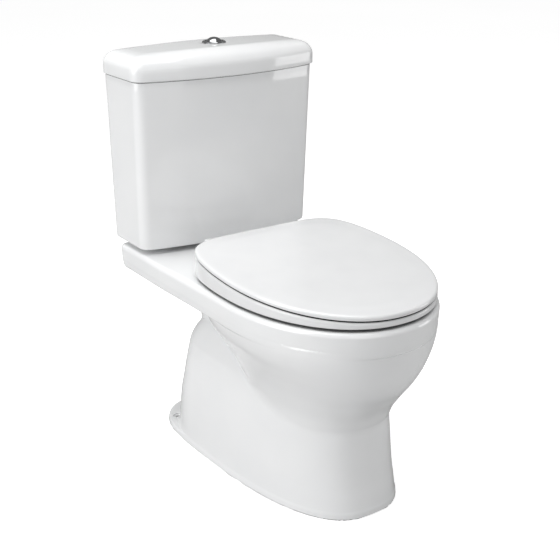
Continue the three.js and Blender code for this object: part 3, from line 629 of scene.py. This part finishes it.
# ---- cistern and its lid --------------------------------------------------------------------
def cistern_piece():
    rings = []
    for t in np.linspace(0, math.pi / 2, 7):
        inset = 3.5 * (1 - math.sin(t))
        rings.append(level(cistern_plan(0.02 * math.sin(t), inset, WALL_Y - inset),
                           CISTERN_BOTTOM_Z + 4.5 - 4.5 * math.cos(t)))
    for t in np.linspace(0, 1, 14)[1:]:
        rings.append(level(cistern_plan(0.02 + 0.98 * t, 0),
                           CISTERN_BOTTOM_Z + 4.5 + (CISTERN_TOP_Z - 6 - CISTERN_BOTTOM_Z) * t))
    for t in np.linspace(0, math.pi / 2, 4)[1:]:
        rings.append(level(cistern_plan(1, 1.5 * (1 - math.cos(t)), WALL_Y - 1.5 * (1 - math.cos(t))),
                           CISTERN_TOP_Z - 1.5 + 1.5 * math.sin(t)))
    inner_back = WALL_Y - CISTERN_WALL
    for t in np.linspace(0, math.pi / 2, 4):
        inset = CISTERN_WALL - 2 * math.sin(math.pi / 2 - t)
        rings.append(level(cistern_plan(1, inset, WALL_Y - inset), CISTERN_TOP_Z - 2 + 2 * math.cos(t)))
    for t in np.linspace(0, 1, 8)[1:]:
        rings.append(level(cistern_plan(1 - 0.94 * t, CISTERN_WALL, inner_back), CISTERN_TOP_Z - 2 - 304 * t))
    for t in np.linspace(0, math.pi / 2, 5)[1:]:
        inset = 8 * (1 - math.cos(t))
        plan = cistern_plan(0.05, CISTERN_WALL + inset, inner_back - inset)
        rings.append(level(plan, 420 - 8 * math.sin(t)))
    return skin("cistern_ware", rings, caps=(True, True), sharp=50)


def cistern_lid_piece():
    def plan(inset):
        return cistern_plan(1, inset - 4.5, WALL_Y - max(inset - 1, 0))

    def crown(x, y):
        return LID_CROWN * (1 - (x / LID_HALF_WIDTH) ** 2)

    heights = [749, 754, 758, 762, 766, 768.4, 770.2, 771.6, 772.6, 773]
    insets = [0, 1.4, 3.4, 6, 9.6, 13, 17, 22, 29, 36]
    skirt = [(4.5, 726.3), (4.5, 727.6), (1.0, 728.1), (0.2, 728.5), (0, 729.4), (0, 736), (0, 742)]
    rings = [level(plan(inset), z) for inset, z in skirt]
    for inset, z in zip(monotone(range(len(insets)), insets, np.linspace(0, 9, 28)),
                        monotone(range(len(heights)), heights, np.linspace(0, 9, 28))):
        share = min(max((inset - 8) / 30, 0), 1)
        share = share * share * (3 - 2 * share)
        rings.append(level(plan(inset), lambda x, y, z=z, s=share: z - s + s * crown(x, y)))
    top = rings[-1]
    centre = np.array([0.0, BUTTON_Y])
    reach = top[:, :2] - centre
    circle = centre + reach / np.linalg.norm(reach, axis=1, keepdims=True) * 20.6
    for t in np.linspace(0, 1, 12)[1:]:
        flat = top[:, :2] * (1 - t) + circle * t
        rings.append(level(flat, lambda x, y: LID_TOP_Z - 2 + crown(x, y)))
    for radius, z in [(20.2, 777.7), (20, 777), (20, 764)]:
        rings.append(level(centre + (circle - centre) * radius / 20.6, z))
    inside = [(40, 764), (30, 761), (25, 756), (25, 722), (24, 720.5), (18.5, 720.5), (17.5, 721.5),
              (17.5, 726.3)]
    for inset, z in inside:
        rings.append(level(plan(inset), z))
    return skin("cistern_cover_ware", rings, closed=True, sharp=50)


dress(cistern_piece(), "vitreous_china", "fixed", "cistern")
dress(cistern_lid_piece(), "vitreous_china", "cover", "cistern_lid")


# ---- seat -----------------------------------------------------------------------------------
def sloping(height):
    return lambda x, y: height + SEAT_SLOPE * y


def seat_ring_piece():
    def opening(z, grow=0.0):
        share = (z - 405) / 45
        width, front, back = 112 + 14 * share, 160 + 12 * share, 140 + 12 * share
        return egg(width + grow, front + grow, back + grow, -108.0, 2.1, 2.1)

    rings = []
    for t in np.linspace(0, math.pi / 2, 6):
        rings.append(level(seat_plan(3.2 * (1 - math.sin(t))), RING_BOTTOM_Z + 3.2 * (1 - math.cos(t))))
    for share in (0.3, 0.65):
        rings.append(level(seat_plan(0), lambda x, y, s=share: (
            (RING_BOTTOM_Z + 3.2) * (1 - s) + (RING_TOP - 4 + SEAT_SLOPE * y) * s
        )))
    for t in np.linspace(0, math.pi / 2, 7):
        rings.append(level(seat_plan(4 * (1 - math.cos(t))), sloping(RING_TOP - 4 + 4 * math.sin(t))))
    outer = rings[-1][:, :2]
    inner = opening(427, 11.0)
    for share in (0.25, 0.5, 0.75, 1.0):
        rings.append(level(outer * (1 - share) + inner * share, sloping(RING_TOP)))
    for t in np.linspace(0, math.pi / 2, 8)[1:]:
        rings.append(level(opening(423, 11 - 11 * math.sin(t)), sloping(RING_TOP - 9 * (1 - math.cos(t)))))
    rings.append(level(opening(405), 408))
    for t in np.linspace(0, math.pi / 2, 5):
        rings.append(level(opening(405, 3 * (1 - math.cos(t))), RING_BOTTOM_Z + 3 - 3 * math.sin(t)))
    bottom_in, bottom_out = rings[-1][:, :2], rings[0][:, :2]
    for share in (0.33, 0.67):
        rings.append(level(bottom_in * (1 - share) + bottom_out * share, RING_BOTTOM_Z))
    return skin("seat_ring_resin", rings, closed=True, sharp=50)


def seat_lid_piece():
    def dome(height, share):
        return lambda x, y: height + SEAT_SLOPE * y + 2 * share * (1 - (x / SEAT_HALF_WIDTH) ** 2)

    rings = []
    bottom = seat_plan(2.2)
    centre = np.array([0.0, -90.0])
    for share in (0.08, 0.4, 0.75):
        rings.append(level(centre + (bottom - centre) * share, sloping(SEAT_LID_BOTTOM)))
    for t in np.linspace(0, math.pi / 2, 5):
        height = sloping(SEAT_LID_BOTTOM + 2.2 * (1 - math.cos(t)))
        rings.append(level(seat_plan(2.2 * (1 - math.sin(t))), height))
    knots, drops = [0, 0.5, 1.6, 3.6, 8, 16, 28, 40], [-4.3, -2.8, -1.5, -0.55, 0.0, 0.15, 0.1, 0.0]
    for inset in (0, 0.12, 0.3, 0.6, 1.0, 1.6, 2.4, 3.6, 5.2, 8, 12, 16, 22, 28, 34, 40):
        share = min(max((inset - 6) / 34, 0), 1)
        share = share * share * (3 - 2 * share)
        drop = float(monotone(knots, drops, np.array(inset)))
        rings.append(level(seat_plan(inset), dome(SEAT_LID_TOP + drop, share)))
    edge = rings[-1][:, :2]
    for share in np.linspace(1, 0.03, 16)[1:]:
        rings.append(level(centre + (edge - centre) * share, dome(SEAT_LID_TOP, 1.0)))
    return skin("seat_lid_resin", rings, caps=(True, True), sharp=50)


def knuckle_piece(name, from_x, to_x, arm):
    """Hinge knuckle: a bored barrel run out into an arm, whose far corners are given as y and z."""
    turns = np.arange(48) * 2 * math.pi / 48
    barrel = np.stack([10.5 * np.cos(turns), 10.5 * np.sin(turns)], 1)
    corners = np.array([[y - HINGE_Y, z - HINGE_Z] for y, z in arm])
    outline = outer_hull(np.vstack([barrel, corners]), 96)
    bore_turns = np.arctan2(outline[:, 1], outline[:, 0])
    bore = 5.4 * np.stack([np.cos(bore_turns), np.sin(bore_turns)], 1)
    rings = []
    for x, shape, shrink in [(from_x, bore, 0), (from_x, outline, 0.9), (from_x + 0.3, outline, 0.3),
                             (from_x + 0.9, outline, 0), (to_x - 0.9, outline, 0),
                             (to_x - 0.3, outline, 0.3), (to_x, outline, 0.9), (to_x, bore, 0)]:
        scaled = shape * (1 - shrink / np.linalg.norm(shape, axis=1, keepdims=True))
        placed = [np.full(len(shape), x), scaled[:, 0] + HINGE_Y, scaled[:, 1] + HINGE_Z]
        rings.append(np.column_stack(placed))
    return skin(name, rings, closed=True, sharp=35)


def outer_hull(points, count):
    """Convex outline round the points, evenly stepped."""
    points = sorted(map(tuple, points))

    def half(sequence):
        chain = []
        for p in sequence:
            while len(chain) > 1:
                (ax, ay), (bx, by) = chain[-2], chain[-1]
                if (bx - ax) * (p[1] - ay) - (by - ay) * (p[0] - ax) > 0:
                    break
                chain.pop()
            chain.append(p)
        return chain[:-1]

    return even(np.array(half(points) + half(points[::-1])), count)


dress(seat_ring_piece(), "seat_plastic", "ring", "seat_ring")
dress(seat_lid_piece(), "seat_plastic", "lid", "seat_lid")
for side, way in (("left", -1), ("right", 1)):
    ends = sorted((way * (HINGE_X - 12), way * (HINGE_X - 30)))
    ring_arm = [(92, HINGE_Z - 10), (92, HINGE_Z + 9)]
    dress(knuckle_piece(f"ring_knuckle_{side}", *ends, ring_arm), "seat_plastic", "ring")
    ends = sorted((way * (HINGE_X + 12), way * (HINGE_X + 30)))
    lid_arm = [(HINGE_Y + 6, 433.5), (103, 439.5), (92, 439.5), (92, 437)]
    dress(knuckle_piece(f"lid_knuckle_{side}", *ends, lid_arm), "seat_plastic", "lid")


# ---- hinge posts ----------------------------------------------------------------------------
for side, way in (("left", -1), ("right", 1)):
    x = way * HINGE_X
    foot = rounded([(0, RIM_Z + 0.3), (15, RIM_Z + 0.3), (15, RIM_Z + 4), (9.5, RIM_Z + 5), (8, RIM_Z + 7),
                    (8, HINGE_Z - 6), (0, HINGE_Z - 6)], 1.2)
    dress(lathe(f"hinge_post_foot_{side}", foot, (x, HINGE_Y)), "chrome", "fixed", f"hinge_post_{side}")
    barrel = rounded([(5.3, -11), (10.5, -11), (10.5, 11), (5.3, 11)], 0.8)
    turned = lathe(f"hinge_post_barrel_{side}", barrel, (x, HINGE_Y, HINGE_Z), "x", closed=True)
    dress(turned, "chrome", "fixed")


# ---- flush button ---------------------------------------------------------------------------
def bezel_piece():
    top = LID_TOP_Z - 2 + LID_CROWN
    profile = rounded([(17.2, 742), (19.4, 742), (19.4, top + 0.3), (BEZEL_RADIUS, top + 0.3),
                       (BEZEL_RADIUS, top + 1.4), (BEZEL_RADIUS - 3, top + 3.2), (17.2, top + 3.2),
                       (17.2, 742.1)], 0.7)
    return lathe("flush_bezel", profile, (0, BUTTON_Y), sides=96, closed=True, sharp=60)


def button_piece(name, keep_left):
    """One side of the chromed dome, cut where the full and the half flush part."""
    base = LID_TOP_Z - 2 + LID_CROWN - 16
    edge = base + 17.6
    rise = 8.6
    sphere = (BUTTON_RADIUS ** 2 + rise ** 2) / (2 * rise)
    profile = [(0, base), (BUTTON_RADIUS, base), (BUTTON_RADIUS, edge - 0.4),
               (BUTTON_RADIUS - 0.15, edge + 0.1)]
    for t in np.linspace(0.02, 1, 20):
        radius = (BUTTON_RADIUS - 0.3) * (1 - t)
        profile.append((radius, edge + rise - sphere + math.sqrt(sphere ** 2 - radius ** 2)))
    obj = lathe(name, profile, (0, BUTTON_Y), sides=128)
    work = bmesh.new()
    work.from_mesh(obj.data)
    plane_x = (BUTTON_SPLIT_X + (-0.3 if keep_left else 0.3)) * MM
    geometry = work.verts[:] + work.edges[:] + work.faces[:]
    cut = bmesh.ops.bisect_plane(work, geom=geometry, plane_co=(plane_x, 0, 0), plane_no=(1, 0, 0),
                                 clear_outer=keep_left, clear_inner=not keep_left)
    rim = [e for e in cut["geom_cut"] if isinstance(e, bmesh.types.BMEdge)]
    bmesh.ops.contextual_create(work, geom=rim)
    bmesh.ops.bevel(work, geom=rim, offset=0.35 * MM, segments=2, profile=0.5, affect="EDGES")
    bmesh.ops.recalc_face_normals(work, faces=work.faces)
    work.to_mesh(obj.data)
    work.free()
    obj.data.polygons.foreach_set("use_smooth", [True] * len(obj.data.polygons))
    obj.data.set_sharp_from_angle(angle=math.radians(50))
    return obj


dress(bezel_piece(), "chrome", "cover", "button_bezel")
dress(button_piece("flush_button_full", True), "chrome", "full_button", "button_full")
dress(button_piece("flush_button_half", False), "chrome", "half_button", "button_half")


# ---- the frame's own pieces that stay -------------------------------------------------------
for subpart in frame["record"]["subparts"]:
    node = frame["nodes"][subpart["node"]]
    if not node.hide_render:
        node.data.materials.clear()
        node.data.materials.append(FINISHES[subpart["material_slot"]])


# ---- camera, light and floor ----------------------------------------------------------------
CAMERA_PLACE = (-1.08044, -1.55544, 1.08361)  # metres
CAMERA_LENS = 69.34
FLOOR_REACH = 30000


def place_camera():
    azimuth, elevation = -0.598370, 0.361311
    camera = bpy.data.objects.new("camera", bpy.data.cameras.new("camera"))
    bpy.context.scene.collection.objects.link(camera)
    flat = math.cos(elevation)
    back = Vector((math.sin(azimuth) * flat, -math.cos(azimuth) * flat, math.sin(elevation)))
    right = Vector((math.cos(azimuth), math.sin(azimuth), 0))
    up = back.cross(right)
    camera.matrix_world = Matrix((
        (right.x, up.x, back.x, CAMERA_PLACE[0]),
        (right.y, up.y, back.y, CAMERA_PLACE[1]),
        (right.z, up.z, back.z, CAMERA_PLACE[2]),
        (0, 0, 0, 1),
    ))
    camera.data.lens = CAMERA_LENS
    camera.data.sensor_width = 36
    camera.data.clip_end = 200
    bpy.context.scene.camera = camera


def softbox(name, place, aim, size, power):
    lamp = bpy.data.lights.new(name, "AREA")
    lamp.shape = "RECTANGLE"
    lamp.size, lamp.size_y = size
    lamp.energy = power
    obj = bpy.data.objects.new(name, lamp)
    obj.location = place
    obj.rotation_euler = (Vector(aim) - Vector(place)).to_track_quat("-Z", "Y").to_euler()
    bpy.context.scene.collection.objects.link(obj)


def studio():
    corners = [(x * FLOOR_REACH, y * FLOOR_REACH, 0) for x, y in ((-1, -1), (1, -1), (1, 1), (-1, 1))]
    floor = mesh_object("floor", corners, [(0, 1, 2, 3)])
    nodes = Nodes("studio_floor", (0.9, 0.9, 0.9), 0.7)
    nodes.colour(nodes.ramp(nodes.noise(0.7, 2.0), (0.5, 0.5, 0.5), (0.53, 0.53, 0.53)))
    glow = nodes.tree.nodes.new("ShaderNodeEmission")
    glow.inputs["Strength"].default_value = 0.8
    add = nodes.tree.nodes.new("ShaderNodeAddShader")
    mix = nodes.tree.nodes.new("ShaderNodeMixShader")
    path = nodes.tree.nodes.new("ShaderNodeLightPath")
    output = nodes.tree.nodes["Material Output"]
    nodes.tree.links.new(nodes.shader.outputs[0], add.inputs[0])
    nodes.tree.links.new(glow.outputs[0], add.inputs[1])
    nodes.tree.links.new(path.outputs["Is Camera Ray"], mix.inputs[0])
    nodes.tree.links.new(nodes.shader.outputs[0], mix.inputs[1])
    nodes.tree.links.new(add.outputs[0], mix.inputs[2])
    nodes.tree.links.new(mix.outputs[0], output.inputs["Surface"])
    floor.data.materials.append(nodes.material)
    world = bpy.data.worlds.new("studio")
    world.use_nodes = True
    sky = world.node_tree.nodes["Background"]
    sky.inputs["Color"].default_value = (1, 1, 1, 1)
    seen = world.node_tree.nodes.new("ShaderNodeLightPath")
    strength = world.node_tree.nodes.new("ShaderNodeMapRange")
    strength.inputs["To Min"].default_value = 0.31
    strength.inputs["To Max"].default_value = 1.0
    world.node_tree.links.new(seen.outputs["Is Camera Ray"], strength.inputs["Value"])
    world.node_tree.links.new(strength.outputs["Result"], sky.inputs["Strength"])
    bpy.context.scene.world = world
    softbox("left", (-2.9, 0.3, 1.5), (0, 0, 0.4), (2.0, 2.6), 54)
    softbox("top", (-0.4, 0.1, 3.3), (0, 0, 0.4), (2.4, 2.4), 68)
    softbox("front", (-0.8, -4.0, 1.5), (0, 0, 0.4), (3.0, 3.0), 30)
    softbox("right", (3.2, -1.6, 0.7), (0, 0, 0.3), (1.4, 1.4), 17)
    bpy.context.scene.view_settings.view_transform = "Standard"


place_camera()
studio()
